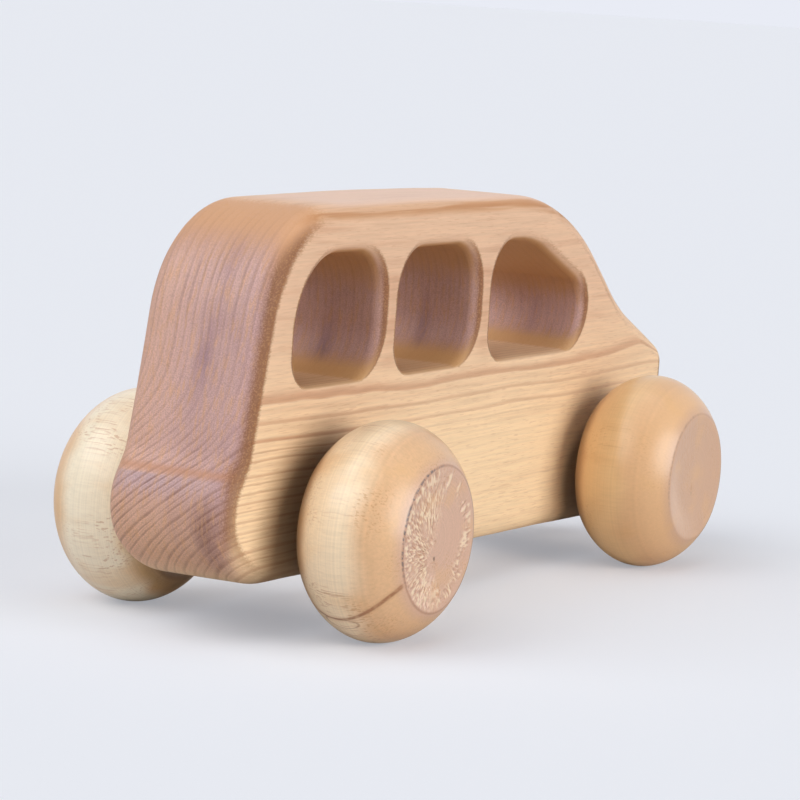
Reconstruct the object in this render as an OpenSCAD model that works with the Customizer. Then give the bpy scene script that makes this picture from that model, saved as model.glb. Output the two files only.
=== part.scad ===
// Wooden toy bus: a one-piece body sawn from a plank, with three through windows,
// and four fat turned wheels glued in pairs to two dowel axles that turn in the body.
// Frame: X forward, Y to the left of the bus, Z up. The origin is on the floor,
// under the middle of the body. All lengths are in millimetres.

/* [Body block] */
// Length of the body from the tail to the nose
body_len = 182.2; // [170:0.1:200]
// Thickness of the plank that the body is sawn from
body_w = 25.5; // [22:0.1:30]
// Height of the body from the middle of its underside to the roof
body_h = 68.8; // [64:0.1:74]
// Height that the middle of the roof stands above its ends
roof_crown = 0.6; // [0.2:0.1:2]
// Radius of the crown along the roof
roof_crown_r = 900; // [400:10:2000]
// Rise of the underside from the nose to the tail
under_rise = 2.9; // [0:0.1:4]
// Radius of the round-over along the outer edges
edge_r = 4.5; // [2:0.1:5.5]
// Radius under the nose
chin_r = 10; // [6:0.5:14]
// Radius at the top of the nose
nose_r = 5; // [4:0.1:8]

/* [Tail] */
// Distance that the rear roof corner stands ahead of the tail
rear_roof_in = 13.4; // [8:0.1:18]
// Radius of the rear roof corner
rear_roof_r = 24.3; // [15:0.1:28]
// Height of the crease above the bumper, from the underside
crease_up = 24.9; // [22:0.1:30]
// Distance that the crease stands ahead of the tail
crease_in = 4; // [2:0.1:6]
// Radius in the hollow of the crease
crease_r = 6; // [2:0.5:8]
// Height of the top of the bumper's upright back, from the underside
bumper_top_up = 18.6; // [16:0.1:20]
// Height of the foot of the bumper's upright back, from the underside
bumper_foot_up = 10.2; // [7:0.1:11]
// Radius above and below the bumper's upright back
bumper_r = 12.7; // [6:0.1:14]
// Distance that the flat underside starts ahead of the tail
tuck_in = 10.6; // [7:0.1:14]
// Radius where the tail tucks under the body
tuck_r = 24; // [8:0.5:26]

/* [Windscreen and hood] */
// Distance from the nose back to the windscreen's head
screen_head_back = 52.7; // [44:0.1:60]
// Radius from the roof into the windscreen
screen_head_r = 57; // [30:0.5:70]
// Distance from the nose back to the windscreen's foot
screen_foot_back = 23.4; // [18:0.1:30]
// Height of the windscreen's foot, from the underside
screen_foot_up = 44.3; // [40:0.1:48]
// Radius in the hollow between the windscreen and the hood
screen_foot_r = 60; // [30:0.5:90]
// Height of the hood at the nose, from the underside
hood_up = 33.6; // [28:0.1:36]

/* [Windows] */
// Height of the window sills, from the underside
sill_up = 36.4; // [34:0.1:40]
// Height of the rail over the windows, up to the roof
head_rail = 9; // [8:0.1:13]
// Distance from the tail to the rear window
rear_wall = 21.4; // [18:0.1:26]
// Distance from the front window to the nose
front_wall = 44.2; // [42:0.1:50]
// Width of the two pillars between the windows
pillar_w = 7.2; // [6:0.1:10]
// Share of the three windows' length that the rear window takes
rear_window_share = 0.2935; // [0.27:0.0005:0.32]
// Share of the three windows' length that the middle window takes
mid_window_share = 0.3015; // [0.27:0.0005:0.32]
// Length of the level stretch of the front window's head
front_head_len = 17.2; // [10:0.1:22]
// Drop of the front window's head towards the windscreen
front_head_drop = 10.4; // [6:0.1:12]
// Radius where the front window's head starts to drop
front_head_r = 30; // [10:0.5:40]
// Radius at the front end of the front window's head
front_top_r = 7; // [4:0.1:9]
// Radius of the rear window's upper rear corner
rear_top_r = 14; // [6:0.1:15]
// Radius of the upper rear corners of the other windows
head_rear_r = 9; // [4:0.1:11]
// Radius of the upper front corners of the rear and middle windows
head_front_r = 8.5; // [5:0.1:10]
// Radius of the rear corners of the sills
sill_rear_r = 5; // [3:0.1:6]
// Radius of the front corners of the sills
sill_front_r = 9; // [5:0.1:10]
// Radius of the round-over on the window mouths
mouth_r = 2.4; // [1:0.1:3]
// Share of that round-over that the sills keep
sill_mouth_share = 0.35; // [0.2:0.05:1]

/* [Wheels] */
// Diameter of the wheels
wheel_d = 40; // [34:0.5:46]
// Width of the wheels
wheel_w = 20.6; // [18:0.2:24]
// Diameter of the outer faces of the wheels
face_d = 26.5; // [22:0.5:30]
// Diameter of the inner faces of the wheels
inner_face_d = 29.4; // [24:0.2:32]
// Width of the narrow rim around the dished outer face
rim_w = 0.7; // [0.4:0.1:2]
// Depth of the dish in the outer face
dish_depth = 0.7; // [0.3:0.1:1.5]
// Gap between the body and each wheel
wheel_gap = 3.35; // [1:0.05:5]
// Distance from the tail to the rear axle
rear_overhang = 33.83; // [30:0.01:40]
// Distance from the front axle to the nose
front_overhang = 35.03; // [30:0.01:42]

/* [Axles] */
// Diameter of the dowel axles
axle_d = 8; // [6:0.1:10]
// Height of the axles above the body's underside
axle_up = 11.3; // [9:0.1:16]
// Depth of the blind bores in the wheels
bore_depth = 12; // [8:0.5:15]
// Radial clearance of the axles where they turn in the body
running_gap = 0.1; // [0.05:0.01:0.3]
// Radial glue gap between the axles and the wheels
glue_gap = 0.05; // [0.02:0.01:0.1]
// Chamfer on the axle ends
axle_chamfer = 0.8; // [0.3:0.1:1.2]

/* [Hidden] */

// Largest angle that one facet of a rounded outline spans
arc_step = 7.5;
// Facets across a quarter round-over of an outer edge and of a window mouth
edge_steps = 6;
mouth_steps = 5;
// Steps across a wheel's tread and from the rim of its dish to the middle
tread_steps = 36;
dish_steps = 8;
// Least difference between an outline corner's radius and the round-over on it
corner_land = 0.4;
// Overrun of the cuts past the faces that they open
overrun = 1;
// Gap between an axle end and the bottom of its blind bore
end_gap = 0.3;

tail_x = -body_len / 2;
nose_x = body_len / 2;
axle_z = wheel_d / 2;
under_z = axle_z - axle_up;
roof_z = under_z + body_h;
crown_x = (nose_x - screen_head_back + tail_x + rear_roof_in) / 2;
rear_axle_x = tail_x + rear_overhang;
front_axle_x = nose_x - front_overhang;

sill_z = under_z + sill_up;
head_z = roof_z - head_rail;
windows_len = body_len - rear_wall - front_wall - 2 * pillar_w;
rear_window_len = windows_len * rear_window_share;
mid_window_len = windows_len * mid_window_share;
front_window_len = windows_len - rear_window_len - mid_window_len;
rear_window_x = tail_x + rear_wall;
mid_window_x = rear_window_x + rear_window_len + pillar_w;
front_window_x = mid_window_x + mid_window_len + pillar_w;

wheel_inner_y = body_w / 2 + wheel_gap;
axle_len = 2 * (wheel_inner_y + bore_depth - end_gap);

// The tread is part of an ellipse that runs from the edge of the inner face to the edge of the outer one
face_r = face_d / 2;
face_angle = acos(face_r / axle_z);
inner_angle = acos(inner_face_d / wheel_d);
tread_half_w = wheel_w / (sin(inner_angle) + sin(face_angle));
// The dish is a shallow bowl inside the outer face's narrow rim
dish_r = face_r - rim_w;

// Outlines: corners [x, z, radius], anticlockwise with X to the right and Z up
least_corner_r = edge_r + corner_land;
body_corners = [
    [tail_x + tuck_in, under_z + under_rise / 2, max(tuck_r, least_corner_r)],
    [nose_x, under_z - under_rise / 2, max(chin_r, least_corner_r)],
    [nose_x, under_z + hood_up, max(nose_r, least_corner_r)],
    [nose_x - screen_foot_back, under_z + screen_foot_up, screen_foot_r],
    [nose_x - screen_head_back, roof_z - roof_crown, max(screen_head_r, least_corner_r)],
    [crown_x, roof_z, roof_crown_r],
    [tail_x + rear_roof_in, roof_z - roof_crown, max(rear_roof_r, least_corner_r)],
    [tail_x + crease_in, under_z + crease_up, crease_r],
    [tail_x, under_z + bumper_top_up, max(bumper_r, least_corner_r)],
    [tail_x, under_z + bumper_foot_up, max(bumper_r, least_corner_r)]
];

function plain_window(x, len, rear_head_r) = [
    [x, sill_z, sill_rear_r],
    [x + len, sill_z, sill_front_r],
    [x + len, head_z, head_front_r],
    [x, head_z, rear_head_r]
];

front_window_corners = [
    [front_window_x, sill_z, sill_rear_r],
    [front_window_x + front_window_len, sill_z, sill_front_r],
    [front_window_x + front_window_len, head_z - front_head_drop, front_top_r],
    [front_window_x + front_head_len, head_z, front_head_r],
    [front_window_x, head_z, head_rear_r]
];

windows = [
    plain_window(rear_window_x, rear_window_len, rear_top_r),
    plain_window(mid_window_x, mid_window_len, head_rear_r),
    front_window_corners
];

// Rounded outlines
function place(c) = [c[0], c[1]];
function way(a, b) = (place(b) - place(a)) / norm(place(b) - place(a));
function turn(a, b) = atan2(a[0] * b[1] - a[1] * b[0], a * b);
function spin(v, angle) = [v[0] * cos(angle) - v[1] * sin(angle), v[0] * sin(angle) + v[1] * cos(angle)];
function corner(list, i) = list[(i + len(list)) % len(list)];

// The angle at a corner, and the length of straight edge that its rounding takes on each side
function bend(list, i) = turn(
    way(corner(list, i - 1), corner(list, i)),
    way(corner(list, i), corner(list, i + 1))
);
function reach(list, i) = corner(list, i)[2] * tan(abs(bend(list, i)) / 2);

// The share of its radius that a corner keeps, so that two roundings never meet on an edge
function edge_share(list, i) =
    norm(place(corner(list, i + 1)) - place(corner(list, i))) / (reach(list, i) + reach(list, i + 1));
function kept_share(list, i) = min(1, edge_share(list, i - 1), edge_share(list, i));

// The points of one rounded corner, moved inwards by inset, or by low_share of it where they face down
function arc_points(list, i, inset, low_share) =
    let (
        angle = bend(list, i),
        side = sign(angle),
        r = corner(list, i)[2] * kept_share(list, i),
        ahead = way(corner(list, i - 1), corner(list, i)),
        outwards = side * [ahead[1], -ahead[0]],
        start = place(corner(list, i)) - ahead * reach(list, i) * kept_share(list, i),
        centre = start - outwards * r,
        steps = ceil(abs(angle) / arc_step)
    )
    [
        for (k = [0 : steps])
            let (
                spoke = spin(outwards, angle * k / steps),
                share = 1 - (1 - low_share) * max(0, -side * spoke[1])
            )
            centre + spoke * (r - side * inset * share)
    ];

function outline(list, inset, low_share) = [
    for (i = [0 : len(list) - 1])
        each arc_points(list, i, inset, low_share)
];

// A closed skin through copies of one outline, each ring given as [y, inset], with y rising
module skin(list, rings, low_share = 1) {
    count = len(outline(list, 0, low_share));
    last = len(rings) - 1;
    points = [for (ring = rings) each [for (p = outline(list, ring[1], low_share)) [p[0], ring[0], p[1]]]];
    first_cap = [for (k = [count - 1 : -1 : 0]) k];
    last_cap = [for (k = [0 : count - 1]) last * count + k];
    sides = [
        for (j = [0 : last - 1], k = [0 : count - 1])
            let (
                a = j * count + k,
                b = j * count + (k + 1) % count
            )
            each [[a, b, b + count], [a, b + count, a + count]]
    ];
    polyhedron(points = points, faces = concat([first_cap], sides, [last_cap]), convexity = 6);
}

// The plank's half section: flat sides that turn through a quarter round into the sawn edge
function edge_ring(k) = [
    body_w / 2 - edge_r + edge_r * sin(90 * k / edge_steps),
    edge_r * (1 - cos(90 * k / edge_steps))
];

// The half section of a window: a straight wall that flares through a quarter round.
// The last step runs on past the face of the plank, so that the mouth is open.
function mouth_ring(k) = [
    body_w / 2 - mouth_r + mouth_r * sin(90 * k / mouth_steps),
    -mouth_r * (1 - cos(90 * k / mouth_steps))
];
mouth_end = 2 * mouth_ring(mouth_steps) - mouth_ring(mouth_steps - 1);
mouth_rings = concat([for (k = [0 : mouth_steps - 1]) mouth_ring(k)], [mouth_end]);

// A half section becomes the rings of both sides
function both_sides(half) = concat(
    [for (k = [len(half) - 1 : -1 : 0]) [-half[k][0], half[k][1]]],
    half
);

module along_y() {
    rotate([-90, 0, 0]) children();
}

module axle_bore(x) {
    translate([x, 0, axle_z])
        along_y()
            cylinder(h = body_w + 2 * overrun, r = axle_d / 2 + running_gap, center = true, $fn = 64);
}

module bus_body() {
    color("#cda88f")
        difference() {
            skin(body_corners, both_sides([for (k = [0 : edge_steps]) edge_ring(k)]));
            for (window = windows)
                skin(window, both_sides(mouth_rings), sill_mouth_share);
            axle_bore(front_axle_x);
            axle_bore(rear_axle_x);
        }
}

// A dowel along Y with chamfered ends
module axle(x) {
    shank_len = axle_len - 2 * axle_chamfer;
    tip_d = axle_d - 2 * axle_chamfer;
    color("#dcc3a0")
        translate([x, 0, axle_z])
            along_y() {
                cylinder(h = shank_len, d = axle_d, center = true, $fn = 64);
                for (end = [0, 1])
                    mirror([0, 0, end])
                        translate([0, 0, shank_len / 2])
                            cylinder(h = axle_chamfer, d1 = axle_d, d2 = tip_d, $fn = 64);
            }
}

// Half section of a wheel as [radius, height], from the inner face at zero to the dished outer face
function tread_point(share) =
    let (angle = share * (inner_angle + face_angle) - inner_angle)
    [axle_z * cos(angle), tread_half_w * (sin(inner_angle) + sin(angle))];
function dish_point(share) = [dish_r * (1 - share), wheel_w - dish_depth * (1 - pow(1 - share, 2))];

module turned_wheel() {
    bore_r = axle_d / 2 + glue_gap;
    bore = [[0, bore_depth], [bore_r, bore_depth], [bore_r, 0]];
    tread = [for (k = [0 : tread_steps]) tread_point(k / tread_steps)];
    dish = [for (k = [0 : dish_steps]) dish_point(k / dish_steps)];
    rotate_extrude($fn = 96)
        polygon(concat(bore, tread, dish));
}

// A wheel at an axle, on the left (side 1) or the right (side -1) of the bus
module wheel(x, side) {
    color("#e6d2b0")
        translate([x, side * wheel_inner_y, axle_z])
            rotate([-90 * side, 0, 0])
                turned_wheel();
}

module front_axle() {
    axle(front_axle_x);
}

module rear_axle() {
    axle(rear_axle_x);
}

module front_left_wheel() {
    wheel(front_axle_x, 1);
}

module front_right_wheel() {
    wheel(front_axle_x, -1);
}

module rear_left_wheel() {
    wheel(rear_axle_x, 1);
}

module rear_right_wheel() {
    wheel(rear_axle_x, -1);
}

bus_body();
front_axle();
rear_axle();
front_left_wheel();
front_right_wheel();
rear_left_wheel();
rear_right_wheel();
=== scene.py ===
"""Looks of a wooden toy bus: a plank body with three through windows on two pairs of turned wheels.

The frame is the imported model: X forward, Y to the left of the bus, Z up, with the origin on the floor.
Shapes are worked out in millimetres and scaled to metres once, in add_piece.
"""
import math
from collections import namedtuple

import bmesh
import bpy
import numpy as np
from mathutils import Matrix, Vector, noise
from mathutils.geometry import delaunay_2d_cdt


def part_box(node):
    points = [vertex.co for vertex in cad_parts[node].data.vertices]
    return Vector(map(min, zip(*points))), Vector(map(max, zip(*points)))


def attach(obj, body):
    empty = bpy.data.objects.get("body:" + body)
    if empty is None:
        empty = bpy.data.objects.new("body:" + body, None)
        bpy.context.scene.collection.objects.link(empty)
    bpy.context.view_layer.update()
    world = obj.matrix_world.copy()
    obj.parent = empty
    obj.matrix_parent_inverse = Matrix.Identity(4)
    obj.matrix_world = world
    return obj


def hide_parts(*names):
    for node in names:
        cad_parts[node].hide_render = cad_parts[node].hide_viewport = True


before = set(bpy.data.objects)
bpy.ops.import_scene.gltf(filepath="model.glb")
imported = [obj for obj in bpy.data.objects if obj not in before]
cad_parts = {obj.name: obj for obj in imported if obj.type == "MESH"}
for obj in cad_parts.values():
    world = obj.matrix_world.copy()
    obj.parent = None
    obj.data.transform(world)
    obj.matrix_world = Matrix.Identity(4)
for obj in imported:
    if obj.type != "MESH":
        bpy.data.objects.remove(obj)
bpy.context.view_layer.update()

MM = 0.001

# The camera, as turned from looking along +Y, with the photograph's frame and focal length in pixels
IMAGE_PX = 800
FOCAL_PX = 3240
SENSOR_MM = 36
CAMERA_TURN = 61.725
CAMERA_DOWN = 7.024
CAMERA_ROLL = 3.744
CAMERA_AWAY = 631.98
CAMERA_TARGET = (-7.04, 0, 36.78)

# Body outline, with the sizes of the solid that it stands for
UNDER_RISE = 2.9
UNDER_Z = 8.7
EDGE_R = 4.5
ROOF_CROWN = 0.6
ROOF_CROWN_R = 900
CHIN_R = 10
NOSE_R = 5
REAR_ROOF_IN = 13.4
REAR_ROOF_R = 24.3
CREASE_UP = 24.9
CREASE_IN = 4
CREASE_R = 6
BUMPER_TOP_UP = 18.6
BUMPER_FOOT_UP = 10.2
BUMPER_R = 12.7
TUCK_IN = 10.6
TUCK_R = 24
SCREEN_HEAD_BACK = 52.7
SCREEN_HEAD_R = 57
SCREEN_FOOT_BACK = 23.4
SCREEN_FOOT_UP = 44.3
SCREEN_FOOT_R = 60
HOOD_UP = 33.6

# Windows
SILL_UP = 36.4
HEAD_RAIL = 9
REAR_WALL = 21.4
FRONT_WALL = 44.2
PILLAR_W = 7.2
REAR_WINDOW_SHARE = 0.2935
MID_WINDOW_SHARE = 0.3015
FRONT_HEAD_LEN = 17.2
FRONT_HEAD_DROP = 10.4
FRONT_HEAD_R = 30
FRONT_TOP_R = 7
REAR_TOP_R = 14
HEAD_REAR_R = 9
HEAD_FRONT_R = 8.5
SILL_REAR_R = 5
SILL_FRONT_R = 9
MOUTH_R = 2.4
SILL_MOUTH_SHARE = 0.35

# Wheels and axles
FACE_R = 13.25
INNER_FACE_R = 14.7
RIM_W = 0.7
DISH_DEPTH = 0.7
PITH_X = -0.3
PITH_Z = -3.5
AXLE_R = 4
AXLE_CHAMFER = 0.8
BORE_R = 4.1
BLIND_BORE_R = 4.05
BLIND_BORE_DEPTH = 12

# Torn fibres: their height, how many run around the pith, their length and the width of their patches
TEAR_HEIGHT = 0.16
TEARS_AROUND = 24.0
TEAR_LEN = 1.15
TEAR_PATCH = 3.2
TEAR_GAIN = 2.6
TEAR_LEVEL = 0.1
FINE_TEARS = 1.8
FINE_TEAR_SHARE = 0.5

# Where fibres are torn: on the tail's side of the pith, in a broken ring by the rim and around the pith,
# over spans of the direction, of distances from the pith or the middle, and of the patches' noise
TAILWARD_SPAN = (-0.45, 0.25)
TAILWARD_AWAY = (1.0, 3.5)
TAILWARD_TORN = 0.75
TAILWARD_PATCHY = 0.6
RING_TORN = 0.7
RING_START_R = (7.5, 9.5)
RING_END_R = (12.6, 11.6)
RING_PATCH = (-0.3, 0.15)
PITH_TORN = 0.7
PITH_AWAY = (3.0, 1.5)
PITH_PATCH = (-0.2, 0.2)
PITH_LEAST_R = 0.1

# Unevenness of hand work: wavelengths, heights, and how far from a bore it is in full
SWELL_WAVE = 26
SWELL_HEIGHT = 0.16
RIPPLE_WAVE = 7
RIPPLE_HEIGHT = 0.035
BORE_FADE = 3.0

# Mesh density: the longest edge and the largest turn of one edge of the body, and the steps of a wheel
MESH_STEP = 0.9
TURN_STEP = math.radians(5)
EDGE_STEPS = 10
MOUTH_STEPS = 7
WHEEL_TURNS = 480
TREAD_STEPS = 64
DISH_STEPS = 64
FACE_STEPS = 14
AXLE_STEPS = 40
CIRCLE_STEPS = 56
BORE_STEPS = 24
BLIND_END_STEPS = 4
BLIND_WALL_STEPS = 10
BLIND_TIP_R = 0.5
SHARP_ANGLE = math.radians(40)
RIM_CLEAR = 0.6 * MESH_STEP
LEAST_AREA = MESH_STEP**2 / 1000
WELD = 1e-7


def box_mm(node):
    """Lowest and highest corner of a solid, in millimetres."""
    low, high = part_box(node)
    return np.array(low) / MM, np.array(high) / MM


def add_piece(name, points, faces, body, material, replaced):
    """A smooth mesh from points in millimetres, riding on a body in place of a solid."""
    mesh = bpy.data.meshes.new(name)
    mesh.from_pydata((np.asarray(points) * MM).tolist(), [], faces)
    tidy = bmesh.new()
    tidy.from_mesh(mesh)
    bmesh.ops.recalc_face_normals(tidy, faces=tidy.faces)
    tidy.to_mesh(mesh)
    tidy.free()
    mesh.shade_smooth()
    mesh.set_sharp_from_angle(angle=SHARP_ANGLE)
    mesh.materials.append(material)
    piece = bpy.data.objects.new(name, mesh)
    bpy.context.scene.collection.objects.link(piece)
    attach(piece, body)
    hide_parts(replaced)
    return piece


# Materials


def srgb(red, green, blue):
    """A colour written as it is seen, from 0 to 255, as the linear colour that a shader takes."""
    shares = (np.array([red, green, blue]) / 255).tolist()
    return [s / 12.92 if s <= 0.04045 else ((s + 0.055) / 1.055) ** 2.4 for s in shares] + [1.0]


class Graph:
    """A node material. Its calls add nodes: a value that is a socket is linked, and any other is set."""

    def __init__(self, name):
        self.material = bpy.data.materials.new(name)
        self.material.use_nodes = True
        self.tree = self.material.node_tree
        self.shader = self.tree.nodes["Principled BSDF"]
        texture = self.tree.nodes.new("ShaderNodeTexCoord")
        self.normal = texture.outputs["Normal"]
        in_mm = {0: texture.outputs["Object"], "Scale": 1 / MM}
        self.point = self.node("VectorMath", in_mm, operation="SCALE")

    def node(self, kind, values, output=0, **settings):
        """Adds a node and returns one of its outputs."""
        node = self.tree.nodes.new("ShaderNode" + kind)
        for key, setting in settings.items():
            setattr(node, key, setting)
        for key, value in values.items():
            self.fill(node.inputs[key], value)
        return node.outputs[output]

    def fill(self, socket, value):
        if isinstance(value, bpy.types.NodeSocket):
            self.tree.links.new(value, socket)
        else:
            socket.default_value = value

    def math(self, operation, *values):
        return self.node("Math", dict(enumerate(values)), operation=operation)

    def vector(self, operation, *values):
        return self.node("VectorMath", dict(enumerate(values)), operation=operation)

    def split(self, vector):
        """The three parts of a vector."""
        parts = self.tree.nodes.new("ShaderNodeSeparateXYZ")
        self.fill(parts.inputs[0], vector)
        return parts.outputs[:3]

    def rise(self, value, low, high, to_low=0.0, to_high=1.0):
        """A smooth step from to_low to to_high, as a value goes from low to high."""
        values = dict(enumerate((value, low, high, to_low, to_high)))
        return self.node("MapRange", values, interpolation_type="SMOOTHSTEP")

    def fall(self, value, low, high):
        """A smooth step from one to zero."""
        return self.rise(value, low, high, 1.0, 0.0)

    def bell(self, value, middle, reach):
        """One at the middle of a band, falling to zero at its reach on either side."""
        return self.fall(self.math("ABSOLUTE", self.math("SUBTRACT", value, middle)), 0.0, reach)

    def rest(self, share):
        """What a share leaves of one."""
        return self.math("SUBTRACT", 1.0, share)

    def noise(self, point, wave, detail=2.0, roughness=0.5, output=0):
        """Noise with a wavelength in millimetres along each axis; output 1 is three noises as a vector."""
        spot = self.vector("DIVIDE", point, wave)
        values = {"Vector": spot, "Scale": 1.0, "Detail": detail, "Roughness": roughness}
        return self.node("TexNoise", values, output)

    def line_noise(self, value, detail=1.0):
        values = {"W": value, "Scale": 1.0, "Detail": detail}
        return self.node("TexNoise", values, noise_dimensions="1D")

    def mix(self, share, a, b):
        """A colour from a to b."""
        return self.node("Mix", {0: share, 6: a, 7: b}, 2, data_type="RGBA")

    def shade(self, colour, share):
        """A colour made lighter or darker."""
        return self.node("VectorMath", {0: colour, "Scale": share}, operation="SCALE")

    def product(self, *values):
        made = values[0]
        for value in values[1:]:
            made = self.math("MULTIPLY", made, value)
        return made

    def finish(self, colour, height, depth, rough_low, rough_high, rough_share):
        """Sets the shader: a colour, a relief with a depth in millimetres and a range of roughness."""
        self.fill(self.shader.inputs["Base Color"], colour)
        roughness = self.rise(rough_share, 0.0, 1.0, rough_low, rough_high)
        self.fill(self.shader.inputs["Roughness"], roughness)
        bump = self.node("Bump", {"Height": height, "Distance": depth * MM, "Strength": 1.0})
        self.fill(self.shader.inputs["Normal"], bump)
        return self.material


# The plank's rings stand upright above the bend and slant below it, away from a heart that lies beside it
HEART_Y = 15
BEND_Z = 42
BEND_SOFT = 12
BEND_LEAN = 0.2
BEND_RUN = 1.0
SWAY_WAVE = (90, 18, 30)
SWAY_REACH = (0, 2, 2.5)
RING_W = 1.65
FINE_RINGS = 2
UNEVEN_W = 4.5
UNEVEN_RINGS = 1.3
FADE_WAVE = (80, 5, 9)

# Where late wood sets in and ends, as shares of a ring's width, for soft bands and for crisp lines
SOFT_START = (0.30, 0.80)
SOFT_END = (0.86, 1.0)
CRISP_START = (0.58, 0.84)
CRISP_END = (0.88, 0.97)

# Wavelengths of the body's noises, and the spans of a noise's values that count
NOISE_SPAN = (0.3, 0.7)
FIBRE_WAVE = (14, 0.45, 0.45)
PORE_WAVE = (3.5, 0.17, 0.17)
PORE_SPAN = (0.62, 0.75)
SPECKLE_WAVE = (0.5, 0.2, 0.2)
FRAY_WAVE = (0.9, 0.18, 0.3)
FRAY_SPAN = (0.25, 0.75)
FRAY_REACH = 0.05
FLECK_SPAN = (0.45, 0.68)
FIGURE_WAVE = (40, 2.5, 2.2)
FIGURE_SPAN = (0.5, 0.75)
CLOUD_WAVE = (60, 6, 22)
CLOUD_SPAN = (0.52, 0.75)
MOTTLE_WAVE = (30, 0.7, 3.5)
MOTTLE_SPAN = (0.45, 0.7)
STREAK_WAVE = (45, 1.8, 1.8)
STREAK_SPAN = (0.44, 0.58)

# Stretches of the body over which one look passes into the next; a band is a middle and a reach from it
SAP_Z = (62.0, 26.0)
PLAIN_X = (-62.0, -10.0)
PLAIN_Z = (42.0, 30.0)
LINED_Z = (54.0, 42.0)
CALM_Z = (34.0, 26.0)
FIGURE_Z = (40.0, 60.0)
PILLAR_BANDS_X = ((-36.0, 6.5), (2.0, 6.5))
PILLAR_FOOT_Z = (44.0, 50.0)
PILLAR_HEAD_Z = (61.0, 68.0)
WINDOWS_START_X = (-80.0, -72.0)
WINDOWS_END_X = (48.0, 60.0)
TAIL_X = (-80.0, -74.0)
FOOT_Z = (34.0, 14.0)
MAUVE_BAND_Y = (-1.6, 2.6)
MAUVE_BAND_Z = (49.5, 14.0)
MAUVE_FADE_X = (-60.0, 60.0)
TAIL_TAN_Y = (0.0, 11.0)
TAIL_MAUVE_Y = (4.0, -6.0)
TAIL_MAUVE_Z = (62.0, 54.0)
BUMPER_TOP_Z = (24.5, 29.0)
BUMPER_LIP_Z = (29.6, 30.2)
BUMPER_TOP_Y = (-10.0, 6.0)
CORNER_BAND_Y = (-8.5, 4.0)
CORNER_BAND_Z = (21.0, 9.0)
CREASE_BAND_Z = (30.9, 1.2)
END_LINES_Z = (42.0, 28.0)
TOP_LINES_Z = (50.0, 64.0)
SHADED_WALLS_X = (-10.0, 20.0)
LOW_EDGE_Z = (18.0, 36.0)
EDGE_Y = (6.0, -6.0)
GOLD_X = (-56.0, -62.0)
GOLD_Z = (58.0, 66.0)
SILL_EDGE_Z = (58.0, 54.0)
SCREEN_FALL = 0.6
SCREEN_LEVEL = (86.0, 90.0)
SCREEN_X = (8.0, 14.0)
ROOF_RIM_Y = (-6.0, -9.0)
ROOF_RIM_Z = (68.0, 72.0)
STREAK_X = (-70.0, -62.0)
ROOF_X = (-62.0, -48.0)
ROOF_Z = (70.0, 74.0)
CEILING_Z = (46.0, 60.0)
SILL_Z = (54.0, 50.0)
SILL_FADE_X = (0.0, 20.0)
HOLES_START_X = (-76.0, -70.0)
HOLES_END_X = (50.0, 52.0)

# The same for how far a surface tilts, as a part of its normal: along the body, upwards or to a side
END_FACING = (0.2, 0.65)
LINES_FACING = (0.2, 0.6)
EDGE_START_FACING = (0.05, 0.25)
EDGE_END_FACING = (0.50, 0.88)
UNDER_TILT = (-0.6, -0.1)
SCREEN_TILT = (0.1, 0.3)
GOLD_TILT = (0.3, 0.75)
SILL_EDGE_TILT = (0.1, 0.9)
ROOF_RIM_BAND_TILT = (0.66, 0.42)
ROOF_TILT = (0.8, 0.98)
CEILING_TILT = (0.25, -0.7)
SILL_TILT = (0.4, 0.95)
WALL_ACROSS = (0.85, 0.5)

# Painted shadows behind the wheels: how far they are full and where they end, from a spot behind and below
# the axle
WHEEL_SHADES = {"rear_right_wheel": (14.0, 26.0), "front_right_wheel": (10.0, 14.5)}
WHEEL_SHADE_BACK = 1
WHEEL_SHADE_DROP = 4
WHEEL_SHADE_KEPT = 0.36

BODY_SPECULAR = 0.3
BODY_RELIEF = 0.03
BODY_ROUGH = (0.45, 0.6)

SIDE_HEART = srgb(232, 192, 158)
SIDE_SAP = srgb(255, 222, 178)
SIDE_LINE = srgb(190, 132, 98)
END_HEART = srgb(211, 171, 162)
END_GOLD = srgb(216, 164, 120)
END_SAP = srgb(228, 180, 145)
END_LINE = srgb(128, 86, 72)
TAIL_TAN = srgb(228, 182, 156)
EDGE_BROWN = srgb(132, 82, 46)
EDGE_GOLD = srgb(214, 163, 124)
EDGE_TAN = srgb(200, 154, 126)
EDGE_FLECK = srgb(212, 156, 98)
MAUVE = srgb(156, 124, 134)
BUMPER_SHEEN_LAVENDER = srgb(196, 168, 174)
CREASE_TAN = srgb(198, 142, 108)
WINDOW_SHADE_OLIVE = srgb(188, 136, 78)
WINDOW_TAN = srgb(222, 176, 126)
ROOF_STREAK = srgb(190, 132, 82)
ROOF_SHEEN_PALE = srgb(240, 210, 194)
WHEEL_SHADE_BROWN = srgb(84, 52, 4)


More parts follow.
